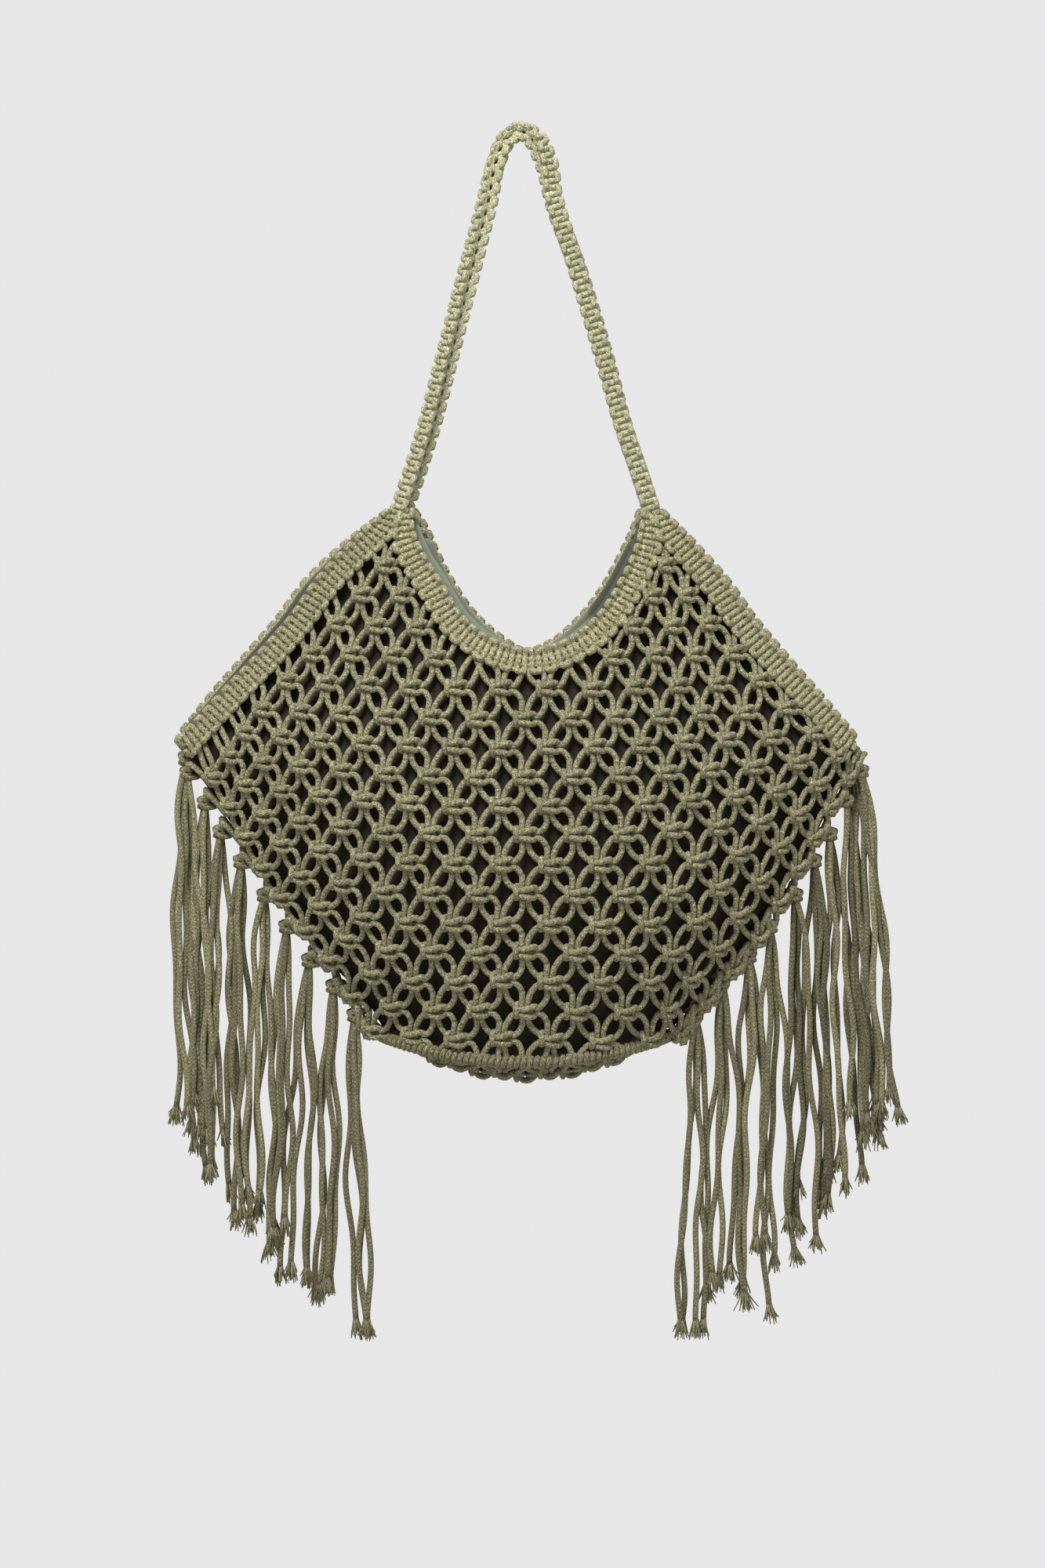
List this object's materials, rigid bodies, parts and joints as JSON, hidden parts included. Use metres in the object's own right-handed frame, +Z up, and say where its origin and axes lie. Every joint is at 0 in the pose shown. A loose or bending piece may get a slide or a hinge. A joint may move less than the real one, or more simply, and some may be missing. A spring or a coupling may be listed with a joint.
{
  "type": "net shoulder bag",
  "caption": "Knotted cord net handbag with a V-shaped handle, U-shaped neckline, pointed corners, a lining, a ringed base and long fringe down both side seams.",
  "frame": {"origin": "inside of the handle's top bend, where the bag hangs", "axes": "+X across the bag to the right as seen from the front, -Y is the front, +Z up"},
  "size_m": [0.4596, 0.1206, 0.7733],
  "materials": {
    "cord": "heathered sage braided cotton cord",
    "lining": "matt grey-green plain woven cotton"
  },
  "bodies": {
    "root": {"handle_front_strap": "cord", "handle_back_strap": "cord", "front_left_shoulder_border": "cord", "front_right_shoulder_border": "cord", "front_neck_border": "cord", "front_net": "cord", "back_left_shoulder_border": "cord", "back_right_shoulder_border": "cord", "back_neck_border": "cord", "back_net": "cord", "front_lining": "lining", "back_lining": "lining", "base_ring": "cord", "base_net": "cord", "fringe_left": "cord", "fringe_right": "cord"}
  },
  "joints": []
}
